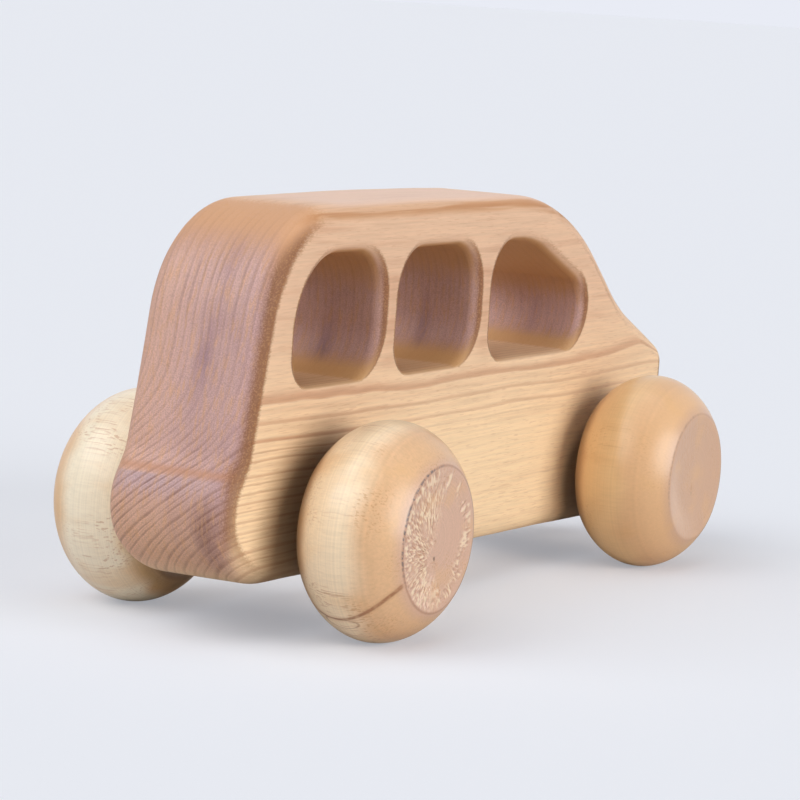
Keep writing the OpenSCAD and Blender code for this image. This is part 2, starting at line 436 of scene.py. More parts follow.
def growth(g):
    """The tree's rings, as soft bands for the end grain and as crisp lines for the long grain."""
    sway = g.noise(g.point, SWAY_WAVE, 3.0, 0.55, 1)
    centred = g.vector("SUBTRACT", sway, (0.5, 0.5, 0.5))
    _, y, z = g.split(g.vector("MULTIPLY_ADD", centred, SWAY_REACH, g.point))
    across = g.math("SUBTRACT", HEART_Y, y)
    depth = g.math("ADD", g.math("SUBTRACT", BEND_Z, z), g.math("MULTIPLY", y, BEND_LEAN))
    below = g.math("SMOOTH_MAX", depth, 0.0, BEND_SOFT)
    radius = g.math("ADD", across, g.math("MULTIPLY", below, BEND_RUN))
    uneven = g.product(g.line_noise(g.math("DIVIDE", radius, UNEVEN_W)), UNEVEN_RINGS)
    age = g.math("ADD", g.math("DIVIDE", radius, RING_W), uneven)
    ring = g.math("FRACT", age)
    each = g.node("TexWhiteNoise", {"W": g.math("FLOOR", age)}, 0, noise_dimensions="1D")
    fine = g.math("PINGPONG", g.product(age, FINE_RINGS), 0.5)
    faded = g.rise(g.noise(g.point, FADE_WAVE), 0.3, 0.65, 0.5, 1.0)
    band = g.product(g.rise(ring, *SOFT_START), g.fall(ring, *SOFT_END), g.rise(each, 0.0, 1.0, 0.55, 1.0))
    soft = g.product(g.math("ADD", g.product(band, 0.8), g.product(fine, 0.7)), faded)
    line = g.product(g.rise(ring, *CRISP_START), g.fall(ring, *CRISP_END), g.rise(each, 0.0, 1.0, 0.45, 0.75))
    return soft, g.math("ADD", line, g.product(fine, 0.5))


def make_side_grain(g, crisp, fibre, pores):
    """Long grain: pinkish by the roof and yellow lower down, with lines that fade towards the front."""
    x, _, z = g.split(g.point)
    side = g.mix(g.rise(z, *SAP_Z), SIDE_HEART, SIDE_SAP)
    plain = g.product(g.rise(x, *PLAIN_X), g.rise(z, *PLAIN_Z, 0.15, 0.85))
    lined = g.product(g.rise(z, *LINED_Z, 0.10, 0.75), g.rise(z, *CALM_Z, 1.0, 0.7), g.rest(plain))
    side = g.mix(g.product(crisp, lined), side, SIDE_LINE)
    figure = g.noise(g.point, FIGURE_WAVE, 2.0, 0.6)
    figured = g.product(g.rise(figure, *FIGURE_SPAN), g.rise(z, *FIGURE_Z, 0.12, 0.35))
    side = g.mix(figured, side, SIDE_LINE)
    pillars = g.math("ADD", *(g.bell(x, *band) for band in PILLAR_BANDS_X))
    beside = g.product(pillars, g.rise(z, *PILLAR_FOOT_Z), g.fall(z, *PILLAR_HEAD_Z))
    side = g.mix(g.product(beside, g.rise(figure, 0.3, 0.6, 0.1, 0.4)), side, SIDE_LINE)
    side = g.shade(side, g.rise(fibre, *NOISE_SPAN, 0.93, 1.05))
    return g.mix(g.product(pores, 0.2), side, SIDE_LINE)


def in_windows(g):
    """The stretch of the body, along its length, that has the windows."""
    x = g.split(g.point)[0]
    return g.product(g.rise(x, *WINDOWS_START_X), g.fall(x, *WINDOWS_END_X))


def at_tail(g):
    """The rear end of the body."""
    return g.fall(g.split(g.point)[0], *TAIL_X)


def add_tail_tints_and_sheen(g, end):
    """Tan on the tail's left half, mauve on its right half, and a lavender painted sheen on the bumper's top.
    """
    _, y, z = g.split(g.point)
    tail = at_tail(g)
    end = g.mix(g.product(g.rise(y, *TAIL_TAN_Y, 0.0, 0.55), tail), end, TAIL_TAN)
    end = g.mix(g.product(g.rise(y, *TAIL_MAUVE_Y, 0.0, 0.16), tail, g.rise(z, *TAIL_MAUVE_Z)), end, MAUVE)
    # Painted sheen: the bumper's top faces up and is made lavender, as if it reflected the pale sky
    top = g.product(g.rise(z, *BUMPER_TOP_Z), g.fall(z, *BUMPER_LIP_Z), g.rise(y, *BUMPER_TOP_Y, 0.3, 0.75))
    return g.mix(g.product(top, tail), end, BUMPER_SHEEN_LAVENDER)


def make_end_grain(g, late, speckle):
    """End grain: pinkish with mauve clouds, with painted shade on the walls in the windows, and a tan crease
    above the bumper.
    """
    x, y, z = g.split(g.point)
    end = g.mix(g.rise(z, *FOOT_Z), END_HEART, END_SAP)
    cloud = g.noise(g.point, CLOUD_WAVE)
    band = g.product(g.bell(y, *MAUVE_BAND_Y), g.bell(z, *MAUVE_BAND_Z), g.rise(x, *MAUVE_FADE_X, 1.0, 0.3))
    banded = g.product(band, g.rise(cloud, 0.3, 0.6))
    mauve = g.math("MAXIMUM", g.rise(cloud, *CLOUD_SPAN, 0.0, 0.35), banded)
    end = add_tail_tints_and_sheen(g, g.mix(mauve, end, MAUVE))
    end = g.mix(g.product(late, g.rise(z, *END_LINES_Z, 0.20, 0.66)), end, END_LINE)
    corner = g.product(g.bell(y, *CORNER_BAND_Y), g.bell(z, *CORNER_BAND_Z), at_tail(g))
    end = g.mix(g.product(corner, 0.5), end, END_LINE)
    mottle = g.noise(g.point, MOTTLE_WAVE, 3.0, 0.6)
    end = g.mix(g.rise(mottle, *MOTTLE_SPAN, 0.0, 0.5), end, END_GOLD)
    end = g.shade(end, g.rise(speckle, *NOISE_SPAN, 0.86, 1.13))
    # Painted shade on the end-grain walls of the rear windows, fading out towards the front
    end = g.mix(g.product(in_windows(g), g.rise(x, *SHADED_WALLS_X, 0.24, 0.0)), end, END_LINE)
    return g.mix(g.product(g.bell(z, *CREASE_BAND_Z), at_tail(g), 0.6), end, CREASE_TAN)


def add_edges(g, colour, facing, fray):
    """Roundings between end and long grain: brown, tan on the left and on sills, gold at the roof's rear."""
    x, y, z = g.split(g.point)
    up = g.split(g.normal)[2]
    slope = g.math("MULTIPLY_ADD", x, SCREEN_FALL, z)
    on_screen = g.product(g.rise(slope, *SCREEN_LEVEL), g.rise(x, *SCREEN_X), g.rise(up, *SCREEN_TILT))
    band = g.product(g.rise(facing, *EDGE_START_FACING), g.fall(facing, *EDGE_END_FACING))
    level = g.product(g.rise(up, *UNDER_TILT, 0.25, 1.0), g.rise(z, *LOW_EDGE_Z, 0.70, 0.92))
    shown = g.product(level, g.rest(on_screen))
    edge = g.mix(g.rise(y, *EDGE_Y), EDGE_TAN, EDGE_BROWN)
    at_roof = g.product(g.rise(x, *GOLD_X), g.rise(z, *GOLD_Z), g.rise(up, *GOLD_TILT))
    edge = g.mix(at_roof, edge, EDGE_GOLD)
    on_sill = g.product(g.rise(x, *WINDOWS_START_X), g.rise(up, *SILL_EDGE_TILT), g.rise(z, *SILL_EDGE_Z))
    edge = g.mix(on_sill, edge, WINDOW_TAN)
    flecks = g.product(g.rise(fray, *FLECK_SPAN), 0.35)
    return g.mix(g.product(band, shown), colour, g.mix(flecks, edge, EDGE_FLECK))


def add_roof(g, colour):
    """Dark streaks along the roof's right edge, and a painted sheen on its top."""
    x, y, z = g.split(g.point)
    up = g.split(g.normal)[2]
    streaks = g.rise(g.noise(g.point, STREAK_WAVE), *STREAK_SPAN, 0.3, 0.85)
    at_rim = g.product(g.bell(up, *ROOF_RIM_BAND_TILT), g.rise(y, *ROOF_RIM_Y), g.rise(z, *ROOF_RIM_Z))
    colour = g.mix(g.product(streaks, at_rim, g.rise(x, *STREAK_X)), colour, ROOF_STREAK)
    # Painted sheen: the top of the roof is made paler, as if it reflected the bright backdrop
    roof_sheen = g.product(g.rise(up, *ROOF_TILT), g.rise(z, *ROOF_Z), g.rise(x, *ROOF_X))
    return g.mix(g.product(roof_sheen, 0.6), colour, ROOF_SHEEN_PALE)


def add_window_shade(g, colour):
    """Painted shade in an olive tone on the ceilings and the sills of the windows."""
    x, _, z = g.split(g.point)
    _, sideways, up = g.split(g.normal)
    ceiling = g.product(g.rise(up, *CEILING_TILT), g.rise(z, *CEILING_Z), 0.75)
    sill = g.product(g.rise(up, *SILL_TILT), g.rise(z, *SILL_Z), g.rise(x, *SILL_FADE_X, 0.45, 0.1))
    on_walls = g.rise(g.math("ABSOLUTE", sideways), *WALL_ACROSS)
    within = g.product(g.rise(x, *HOLES_START_X), g.fall(x, *HOLES_END_X), on_walls)
    return g.mix(g.product(g.math("MAXIMUM", ceiling, sill), within), colour, WINDOW_SHADE_OLIVE)


def shade_behind_wheels(g):
    """How much of the body's own colour is kept: less where a painted shadow falls behind the wheels."""
    x, _, z = g.split(g.point)
    unshaded = 1.0
    for wheel, stretch in WHEEL_SHADES.items():
        middle = sum(box_mm(wheel)) / 2
        off_x = g.math("SUBTRACT", x, middle[0] - WHEEL_SHADE_BACK)
        off_z = g.math("SUBTRACT", z, middle[2] - WHEEL_SHADE_DROP)
        offset = g.node("CombineXYZ", {0: off_x, 2: off_z})
        away = g.node("VectorMath", {0: offset}, 1, operation="LENGTH")
        unshaded = g.math("MULTIPLY", g.rise(away, *stretch, WHEEL_SHADE_KEPT, 1.0), unshaded)
    return unshaded


def make_body_wood():
    g = Graph("body_wood")
    late, crisp = growth(g)
    late = g.product(late, g.rest(g.product(in_windows(g), 0.5)))
    fibre = g.noise(g.point, FIBRE_WAVE, 4.0, 0.65)
    pores = g.rise(g.noise(g.point, PORE_WAVE, 0.0), *PORE_SPAN)
    speckle = g.noise(g.point, SPECKLE_WAVE, 1.0)
    fray = g.noise(g.point, FRAY_WAVE, 2.0, 0.6)
    along = g.math("ABSOLUTE", g.split(g.normal)[0])
    facing = g.math("ADD", along, g.rise(fray, *FRAY_SPAN, -FRAY_REACH, FRAY_REACH))
    side = make_side_grain(g, crisp, fibre, pores)
    colour = g.mix(g.rise(facing, *END_FACING), side, make_end_grain(g, late, speckle))
    colour = add_edges(g, colour, facing, fray)
    colour = add_window_shade(g, add_roof(g, colour))
    lines = g.rise(g.split(g.point)[2], *TOP_LINES_Z, 0.04, 0.16)
    colour = g.shade(colour, g.rest(g.product(late, g.rise(facing, *LINES_FACING), lines)))
    # Painted shadow of the wheels on the body's sides, mixed towards a dark brown
    colour = g.mix(shade_behind_wheels(g), WHEEL_SHADE_BROWN, colour)
    height = g.math("SUBTRACT", g.math("ADD", fibre, g.product(late, 0.25)), g.product(pores, 0.6))
    g.shader.inputs["Specular IOR Level"].default_value = BODY_SPECULAR
    return g.finish(colour, height, BODY_RELIEF, *BODY_ROUGH, fibre)


# Each wheel has its own cut of wood: a seed, how far its outer face is torn, where its sapwood ends outwards
# of its middle, and the colours of its sapwood, its heartwood and its faces
Look = namedtuple("Look", "seed torn sap_end cream tan disc")
WHEEL_LOOKS = {
    "rear_right": Look(11.0, 1.0, 2.0, srgb(251, 226, 190), srgb(225, 181, 136), srgb(216, 175, 149)),
    "front_right": Look(23.0, 0.2, 1.0, srgb(244, 204, 150), srgb(228, 182, 134), srgb(212, 170, 138)),
    # The rear left wheel's cream is paler than its sapwood alone: in part a painted highlight
    "rear_left": Look(37.0, 0.8, 4.0, srgb(255, 240, 212), srgb(232, 186, 130), srgb(218, 180, 152)),
    "front_left": Look(41.0, 0.5, 2.0, srgb(244, 212, 168), srgb(230, 188, 146), srgb(214, 174, 144)),
}
TORN_PALE = srgb(252, 228, 192)
PIT_AND_GROOVE_SHADE = srgb(172, 126, 98)
WHEEL_LINE = srgb(196, 142, 96)
PITH_BROWN = srgb(110, 78, 58)
RIM_GREY = srgb(112, 98, 92)
HONEY = srgb(230, 182, 124)
DISH_LIGHT_PALE = srgb(240, 208, 182)
SEAM_BROWN = srgb(158, 104, 66)
DOWEL_DARK = srgb(196, 154, 110)
DOWEL_PALE = srgb(228, 192, 148)

# Wavelengths and spans of the wheels' noises
WIDE_SPAN = (0.2, 0.8)
HEART_WAVE = (22, 60, 22)
HEART_SWAY = 0.3
SAP_WAVE = (8, 20, 8)
SAP_SWAY = 1.2
HONEY_WAVE = (7, 16, 7)
HONEY_SPAN = (0.5, 0.75)
LATHE_LINES = 2.6
WHEEL_FIBRE_WAVE = (0.45, 14, 0.45)
PATCH_WAVE = (9, 30, 9)
PATCH_SPAN = (0.45, 0.62)
LINE_WAVE = (0.34, 22, 0.34)
LINE_SPAN = (0.56, 0.68)
DASH_WAVE = (0.2, 3.0, 0.2)
DASH_SPAN = (0.68, 0.80)
SPECK_WAVE = (0.7, 0.7, 0.7)
SPECK_SPAN = (0.42, 0.56)
DOWEL_WAVE = (0.5, 12, 0.5)

# Stretches and bands of a wheel: from its axis, outwards from its middle, and around from the tail side
HEART_R = (12.8, 15.5)
SAP_FADE = (3.6, -1.6)
SAP_START = (-9.5, -6.0)
OUTER_FACE = (8.5, 9.3)
INNER_SHADE = (-10.4, -6.5)
FACE_EDGE_R = (13.5, 13.3)
PITH_R = (0.25, 0.5)
RIM_REACH = 0.4
GREY_SWING = 0.55
GREY_REACH = (0.7, 1.2)
LIT_CRESCENT_R = (10.5, 4.5)
LIT_CRESCENT_SWING = (math.radians(-35), 1.4)
TORN_SPAN = (0.05, 0.9)
PULLED_SPAN = (-0.05, -0.9)

WHEEL_COAT = 0.3
WHEEL_COAT_ROUGH = 0.22
WHEEL_RELIEF = 0.015
WHEEL_ROUGH = (0.30, 0.42)

# The seam on one wheel bends as it runs along the axle; angles are from the tail side, in radians
SEAMED_WHEEL = "rear_right"
SEAM_TIP_Y = 4.0
SEAM_TIP = math.radians(-45.5)
SEAM_BEND = math.radians(0.08)
SEAM_W = 0.65
SEAM_THIN_Y = (-8.0, 6.0)
SEAM_EDGE = (0.3, 1.0)
SEAM_HALO = (0.2, 1.3)
SEAM_START_R = (FACE_R + 0.1, FACE_R + 0.9)
SEAM_WAVE = (0.9, 1.5, 0.9)
LOOP_Y = 1.0
LOOP_SWING = math.radians(-48.6)
LOOP_HALF_W = 3.3
LOOP_HALF_H = 1.4
LOOP_LINE = 0.14

# A point of a wheel: from its middle, from its axis, around from the tail side, outwards, and for noises
Spot = namedtuple("Spot", "x y z rho swing outwards varied")


def wheel_spot(g, centre, seed):
    local = g.vector("SUBTRACT", g.point, tuple(centre))
    x, y, z = g.split(local)
    rho = g.math("SQRT", g.math("ADD", g.product(x, x), g.product(z, z)))
    swing = g.math("ARCTAN2", z, g.math("MULTIPLY", x, -1.0))
    outwards = g.math("MULTIPLY", y, math.copysign(1, centre[1]))
    return Spot(x, y, z, rho, swing, outwards, g.vector("ADD", local, (seed, seed, seed)))


def wheel_ground(g, spot, look):
    """Colours by place: pinkish faces, a tan tread with cream sapwood around it, and honey patches."""
    wander = g.rise(g.noise(spot.varied, HEART_WAVE, 1.0), *WIDE_SPAN, -HEART_SWAY, HEART_SWAY)
    colour = g.mix(g.rise(g.math("ADD", spot.rho, wander), *HEART_R), look.disc, look.tan)
    wander = g.rise(g.noise(spot.varied, SAP_WAVE, 1.0), *WIDE_SPAN, -SAP_SWAY, SAP_SWAY)
    swayed = g.math("ADD", spot.outwards, wander)
    sap_ends = g.rise(swayed, *(look.sap_end + fade for fade in SAP_FADE))
    colour = g.mix(g.product(sap_ends, g.rise(swayed, *SAP_START)), colour, look.cream)
    honey = g.noise(spot.varied, HONEY_WAVE)
    return g.mix(g.rise(honey, *HONEY_SPAN, 0.0, 0.4), colour, HONEY)


def add_seam(g, colour, spot):
    """A brown seam across a tread, thickest by the outer face, with a thin loop below it."""
    from_tip = g.math("SUBTRACT", spot.y, SEAM_TIP_Y)
    bent = g.math("ADD", g.product(from_tip, from_tip, SEAM_BEND), SEAM_TIP)
    gap = g.math("ABSOLUTE", g.product(g.math("SUBTRACT", spot.swing, bent), spot.rho))
    half_w = g.rise(spot.y, *SEAM_THIN_Y, SEAM_W, SEAM_W / 2)
    line = g.fall(g.math("DIVIDE", gap, half_w), *SEAM_EDGE)
    on_tread = g.rise(spot.rho, *SEAM_START_R)
    broken = g.rise(g.noise(g.point, SEAM_WAVE, 1.0), 0.3, 0.6, 0.55, 0.9)
    colour = g.mix(g.product(g.rise(gap, *SEAM_HALO, 0.3, 0.0), on_tread), colour, WHEEL_LINE)
    colour = g.mix(g.product(line, on_tread, broken), colour, SEAM_BROWN)
    around = g.product(g.math("SUBTRACT", spot.swing, LOOP_SWING), spot.rho)
    across = g.math("DIVIDE", around, LOOP_HALF_H)
    along = g.math("DIVIDE", g.math("SUBTRACT", spot.y, LOOP_Y), LOOP_HALF_W)
    out = g.math("SQRT", g.math("ADD", g.product(across, across), g.product(along, along)))
    return g.mix(g.product(g.bell(out, 1.0, LOOP_LINE), 0.55), colour, SEAM_BROWN)


def add_face(g, colour, spot, look):
    """The outer face: torn fibres with painted shade in their pits, a dark pith, a grey broken rim with a
    painted groove shadow, and painted light low on the tail side of the hollow where it is smooth.
    """
    outer = g.rise(spot.outwards, *OUTER_FACE)
    on_face = g.product(outer, g.rise(spot.rho, *FACE_EDGE_R))
    torn = g.node("Attribute", {}, 2, attribute_name="torn", attribute_type="GEOMETRY")
    colour = g.mix(g.rise(torn, *TORN_SPAN, 0.0, 0.8), colour, TORN_PALE)
    # Painted shade in the pits where fibres are pulled out
    colour = g.mix(g.rise(torn, *PULLED_SPAN, 0.0, 0.55), colour, PIT_AND_GROOVE_SHADE)
    flat = g.node("CombineXYZ", {0: spot.x, 2: spot.z})
    off_pith = g.node("VectorMath", {0: flat, 1: (PITH_X, 0, PITH_Z)}, 1, operation="DISTANCE")
    colour = g.mix(g.product(on_face, g.fall(off_pith, *PITH_R), 0.8 * look.torn), colour, PITH_BROWN)
    # Painted groove shadow: a thin dark line around the rim of the outer face
    rim = g.product(g.bell(spot.rho, FACE_R, RIM_REACH), outer)
    colour = g.mix(g.product(rim, 0.2 + 0.5 * look.torn), colour, PIT_AND_GROOVE_SHADE)
    # Painted light: a pale crescent low on the tail side of the dish, as if the hollow caught the light
    lit_crescent = g.product(on_face, g.bell(spot.rho, *LIT_CRESCENT_R), g.bell(spot.swing, *LIT_CRESCENT_SWING))
    colour = g.mix(g.product(lit_crescent, 0.5 * (1 - look.torn)), colour, DISH_LIGHT_PALE)
    specks = g.rise(g.noise(spot.varied, SPECK_WAVE, 1.0), *SPECK_SPAN)
    off_grey = g.math("ABSOLUTE", g.math("SUBTRACT", spot.swing, GREY_SWING))
    greyed = g.product(rim, specks, g.rise(off_grey, *GREY_REACH, look.torn, 0.0))
    return g.mix(greyed, colour, RIM_GREY)


def make_wheel_wood(name, centre, look):
    """Turned wood, with lines and fibres along the axle and fine lathe marks around it."""
    g = Graph(f"{name}_wood")
    spot = wheel_spot(g, centre, look.seed)
    colour = wheel_ground(g, spot, look)
    lathe = g.line_noise(g.product(g.math("ADD", spot.outwards, spot.rho), LATHE_LINES), 3.0)
    fibre = g.noise(spot.varied, WHEEL_FIBRE_WAVE, 3.0, 0.6)
    rough = 0.4 + 0.6 * look.torn
    colour = g.shade(colour, g.rise(lathe, *NOISE_SPAN, 1 - 0.05 * rough, 1 + 0.03 * rough))
    colour = g.shade(colour, g.rise(fibre, *NOISE_SPAN, 1 - 0.05 * rough, 1 + 0.035 * rough))
    patches = g.rise(g.noise(spot.varied, PATCH_WAVE, 1.0), *PATCH_SPAN)
    lines = g.rise(g.noise(spot.varied, LINE_WAVE, 1.0), *LINE_SPAN)
    dashes = g.rise(g.noise(spot.varied, DASH_WAVE, 0.0), *DASH_SPAN)
    colour = g.mix(g.product(lines, patches, 0.1 + 0.5 * look.torn), colour, WHEEL_LINE)
    colour = g.mix(g.product(dashes, 0.12 * look.torn), colour, WHEEL_LINE)
    if name == SEAMED_WHEEL:
        colour = add_seam(g, colour, spot)
    colour = add_face(g, colour, spot, look)
    colour = g.shade(colour, g.rise(spot.outwards, *INNER_SHADE, 0.6, 1.0))
    height = g.math("SUBTRACT", g.math("ADD", fibre, g.product(lathe, 0.5)), g.product(dashes, 0.25))
    g.shader.inputs["Coat Weight"].default_value = WHEEL_COAT
    g.shader.inputs["Coat Roughness"].default_value = WHEEL_COAT_ROUGH
    return g.finish(colour, height, WHEEL_RELIEF, *WHEEL_ROUGH, fibre)


def make_axle_wood():
    g = Graph("axle_wood")
    fibre = g.noise(g.point, DOWEL_WAVE, 4.0, 0.6)
    colour = g.mix(g.rise(fibre, *NOISE_SPAN), DOWEL_DARK, DOWEL_PALE)
    return g.finish(colour, fibre, BODY_RELIEF, *BODY_ROUGH, fibre)


# Rounded outlines


def turned(vector, angles):
    """A 2-D vector turned by each of some angles."""
    c, s = np.cos(angles), np.sin(angles)
    return np.stack([vector[0] * c - vector[1] * s, vector[0] * s + vector[1] * c], 1)


def rounding(start, way, bend, radius, inset, low_share):
    """Points along a corner's rounding, inset, and the same points without the inset."""
    side = math.copysign(1, bend)
    outwards = side * np.array([way[1], -way[0]])
    centre = start - outwards * radius
    steps = math.ceil(max(abs(bend) / TURN_STEP, radius * abs(bend) / MESH_STEP))
    spokes = turned(outwards, bend * np.arange(steps + 1) / steps)
    kept = 1 - (1 - low_share) * np.maximum(0, -side * spokes[:, 1])
    return centre + spokes * (radius - side * inset * kept)[:, None], centre + spokes * radius


def roundings(corners, inset, low_share):
    """The roundings of an outline's corners, made smaller where two would run into each other."""
    count = len(corners)
    places = np.array([c[:2] for c in corners], float)
    runs = np.roll(places, -1, 0) - places
    lengths = np.linalg.norm(runs, axis=1)
    ways = runs / lengths[:, None]
    bends = [math.atan2(np.cross(ways[i - 1], ways[i]), ways[i - 1] @ ways[i]) for i in range(count)]
    reaches = [c[2] * math.tan(abs(b) / 2) for c, b in zip(corners, bends)]
    made = []
    for i in range(count):
        room_before = lengths[i - 1] / (reaches[i - 1] + reaches[i])
        room_after = lengths[i] / (reaches[i] + reaches[(i + 1) % count])
        share = min(1, room_before, room_after)
        start = places[i] - ways[i - 1] * reaches[i] * share
        made.append(rounding(start, ways[i - 1], bends[i], corners[i][2] * share, inset, low_share))
    return made


def raw_outline(corners, inset, low_share):
    """Points along an outline of [x, z, radius] corners, inset, or by low_share of that where facing down."""
    made = roundings(corners, inset, low_share)
    points = []
    for (arc, bare), (next_arc, next_bare) in zip(made, made[1:] + made[:1]):
        gap = np.linalg.norm(next_bare[0] - bare[-1])
        steps = max(1, math.ceil(gap / MESH_STEP))
        shares = np.arange(1, steps)[:, None] / steps
        points += [arc, arc[-1] + (next_arc[0] - arc[-1]) * shares]
    return np.concatenate(points)


def outline(corners, inset=0.0, low_share=1.0):
    """The same points, without the second of two that meet where one rounding runs into the next."""
    bare = raw_outline(corners, 0, 1)
    apart = np.linalg.norm(bare - np.roll(bare, 1, 0), axis=1) > MESH_STEP / 100
    return raw_outline(corners, inset, low_share)[apart]


def body_corners(low, high):
    """The body's outline, anticlockwise with X to the right and Z up."""
    tail, nose, roof = low[0], high[0], high[2]
    crown_x = (nose - SCREEN_HEAD_BACK + tail + REAR_ROOF_IN) / 2
    return [
        (tail + TUCK_IN, UNDER_Z + UNDER_RISE / 2, TUCK_R),
        (nose, UNDER_Z - UNDER_RISE / 2, CHIN_R),
        (nose, UNDER_Z + HOOD_UP, NOSE_R),
        (nose - SCREEN_FOOT_BACK, UNDER_Z + SCREEN_FOOT_UP, SCREEN_FOOT_R),
        (nose - SCREEN_HEAD_BACK, roof - ROOF_CROWN, SCREEN_HEAD_R),
        (crown_x, roof, ROOF_CROWN_R),
        (tail + REAR_ROOF_IN, roof - ROOF_CROWN, REAR_ROOF_R),
        (tail + CREASE_IN, UNDER_Z + CREASE_UP, CREASE_R),
        (tail, UNDER_Z + BUMPER_TOP_UP, BUMPER_R),
        (tail, UNDER_Z + BUMPER_FOOT_UP, BUMPER_R),
    ]


def window_corners(low, high):
    """The outlines of the three windows, from the tail to the nose."""
    sill, head = UNDER_Z + SILL_UP, high[2] - HEAD_RAIL
    all_len = high[0] - low[0] - REAR_WALL - FRONT_WALL - 2 * PILLAR_W
    rear_len, mid_len = all_len * REAR_WINDOW_SHARE, all_len * MID_WINDOW_SHARE
    front_len = all_len - rear_len - mid_len
    rear_x = low[0] + REAR_WALL
    mid_x = rear_x + rear_len + PILLAR_W
    front_x = mid_x + mid_len + PILLAR_W
    plain = [
        [
            (x, sill, SILL_REAR_R),
            (x + length, sill, SILL_FRONT_R),
            (x + length, head, HEAD_FRONT_R),
            (x, head, top_r),
        ]
        for x, length, top_r in ((rear_x, rear_len, REAR_TOP_R), (mid_x, mid_len, HEAD_REAR_R))
    ]
    front = [
        (front_x, sill, SILL_REAR_R),
        (front_x + front_len, sill, SILL_FRONT_R),
        (front_x + front_len, head - FRONT_HEAD_DROP, FRONT_TOP_R),
        (front_x + FRONT_HEAD_LEN, head, FRONT_HEAD_R),
        (front_x, head, HEAD_REAR_R),
    ]
    return [*plain, front]


# The body: bands around its outline, its windows and its bores, joined by two flat sides


def half_section(half_w, radius, steps, sign):
    """[y, inset] from the flat side's edge, through a quarter round, to the middle of the plank."""
    angles = np.linspace(math.pi / 2, 0, steps + 1)
    ys = half_w - radius + radius * np.sin(angles)
    insets = sign * radius * (1 - np.cos(angles))
    straight = half_w - radius
    count = math.ceil(straight / MESH_STEP)
    level = np.linspace(straight, 0, count + 1)[1:]
    return [*zip(ys, insets), *((y, 0.0) for y in level)]


def whole_section(half):
    """A half section mirrored about the middle of the plank, with y rising."""
    return [*((-y, inset) for y, inset in half), *half[-2::-1]]


class Skin:
    """Points and faces of a mesh that grows by closed rings."""

    def __init__(self):
        self.points, self.faces = [], []

    def add(self, points):
        start = len(self.points)
        self.points.extend(points)
        return list(range(start, len(self.points)))

    def band(self, rings):
        """Closed rings of points joined by quads; returns the first and the last ring."""
        ids = [self.add(ring) for ring in rings]
        for a, b in zip(ids, ids[1:]):
            count = len(a)
            self.faces += [(a[k], a[(k + 1) % count], b[(k + 1) % count], b[k]) for k in range(count)]
        return ids[0], ids[-1]


def inside(points, loop):
    """Which 2-D points lie inside a closed loop."""
    x, z = points[:, :1], points[:, 1:]
    x0, z0 = loop[:, 0], loop[:, 1]
    x1, z1 = np.roll(x0, -1), np.roll(z0, -1)
    crosses = (z0 > z) != (z1 > z)
    with np.errstate(divide="ignore", invalid="ignore"):
        hit = x < (x1 - x0) * (z - z0) / (z1 - z0) + x0
    return (crosses & hit).sum(1) % 2 == 1


def between(points, loops):
    """Which 2-D points lie inside the first loop and outside the others."""
    return inside(points, loops[0]) & ~np.any([inside(points, hole) for hole in loops[1:]], 0)


def even_points(loops, rim):
    """Points of a triangular grid that lie between loops and clear of the rim's points."""
    low, high = loops[0].min(0), loops[0].max(0)
    lines = [np.arange(a, b, MESH_STEP) for a, b in zip(low, high)]
    grid = np.stack(np.meshgrid(*lines), -1).reshape(-1, 2)
    grid[:, 0] += np.where(np.round((grid[:, 1] - low[1]) / MESH_STEP) % 2 == 1, MESH_STEP / 2, 0)
    near = np.array([np.min(np.sum((rim - g) ** 2, 1)) for g in grid]) < RIM_CLEAR**2
    return grid[~near & between(grid, loops)]


def loop_edges(loops):
    """Pairs of neighbours around loops, with the points counted through one loop after another."""
    edges, start = [], 0
    for loop in loops:
        count = len(loop)
        edges += [(start + k, start + (k + 1) % count) for k in range(count)]
        start += count
    return edges


def flat_side(skin, loops):
    """Fills the first loop of ids, with holes at the others, with even triangles."""
    flat = [np.array([skin.points[i] for i in loop])[:, [0, 2]] for loop in loops]
    y = skin.points[loops[0][0]][1]
    rim = np.concatenate(flat)
    fill = even_points(flat, rim)
    ids = [i for loop in loops for i in loop] + skin.add([(g[0], y, g[1]) for g in fill])
    spots = np.concatenate([rim, fill])
    made = delaunay_2d_cdt([Vector(p) for p in spots], loop_edges(loops), [], 0, WELD)
    source = [kept[0] for kept in made[3]]
    triangles = np.array([[source[i] for i in face] for face in made[2]])
    corners = spots[triangles]
    areas = np.abs(np.cross(corners[:, 1] - corners[:, 0], corners[:, 2] - corners[:, 0])) / 2
    wanted = (areas > LEAST_AREA) & between(corners.mean(1), flat)
    skin.faces += [tuple(ids[i] for i in t) for t in triangles[wanted]]


def circle(x, z, radius):
    angles = np.linspace(0, 2 * math.pi, CIRCLE_STEPS, endpoint=False)
    return np.stack([x + radius * np.cos(angles), z + radius * np.sin(angles)], 1)


def rings_of(loop_at, section):
    """3-D rings along a section of [y, inset], from a function that gives the outline at an inset."""
    return [[(x, y, z) for x, z in loop_at(inset)] for y, inset in section]


def hand_worked(points, normals, amounts):
    """Slight unevenness of a hand-sanded surface, along its normals, by an amount for each point."""
    moved = np.array(points)
    for i, (p, n, amount) in enumerate(zip(points, normals, amounts)):
        swell = SWELL_HEIGHT * noise.noise(Vector(p) / SWELL_WAVE)
        ripple = RIPPLE_HEIGHT * noise.noise(Vector(p) / RIPPLE_WAVE)
        moved[i] += np.array(n) * (swell + ripple) * amount
    return moved


def wear(piece, bores):
    """Moves the points of a piece by the unevenness of hand work, but not in the drilled bores, at [x, z]."""
    mesh = piece.data
    points = np.array([v.co for v in mesh.vertices]) / MM
    normals = np.array([v.normal for v in mesh.vertices])
    from_bore = np.min([np.hypot(points[:, 0] - x, points[:, 2] - z) for x, z in bores], 0) - BORE_R
    moved = hand_worked(points, normals, np.clip(from_bore / BORE_FADE, 0, 1)) * MM
    mesh.vertices.foreach_set("co", moved.astype(np.float32).ravel())
    mesh.update()


